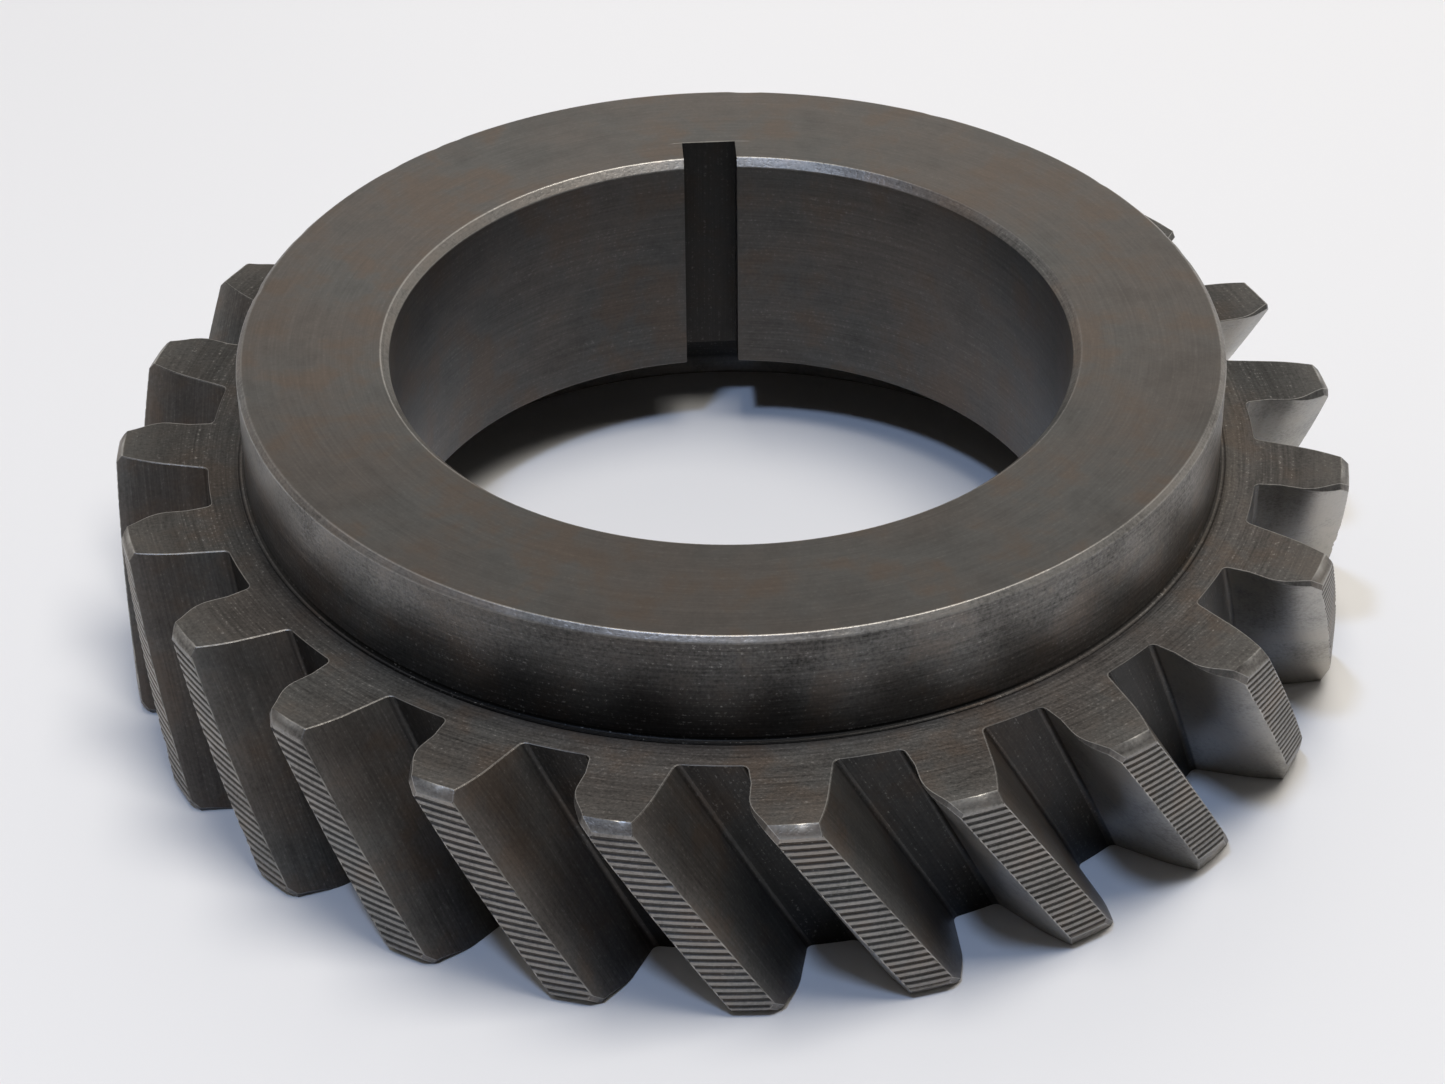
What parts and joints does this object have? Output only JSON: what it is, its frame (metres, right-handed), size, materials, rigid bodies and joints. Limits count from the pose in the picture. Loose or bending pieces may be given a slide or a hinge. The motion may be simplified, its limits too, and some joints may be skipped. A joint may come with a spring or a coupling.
{
  "type": "helical gear",
  "caption": "Left-hand helical gear with a round hub standing on one side, a keyed central bore and a counterbored rear face.",
  "frame": {"origin": "centre of the bore, in the plane of the rear face that the gear rests on", "axes": "+Z along the bore's axis from the rear face to the hub face, +Y through the middle of the keyway, +X completes the right-handed frame"},
  "size_m": [0.1044, 0.1044, 0.0286],
  "materials": {
    "helical_gear": "turned and hobbed steel, darkened by heat treatment and oil, with bright worn edges"
  },
  "bodies": {
    "root": {"helical_gear": "helical_gear"}
  },
  "joints": []
}
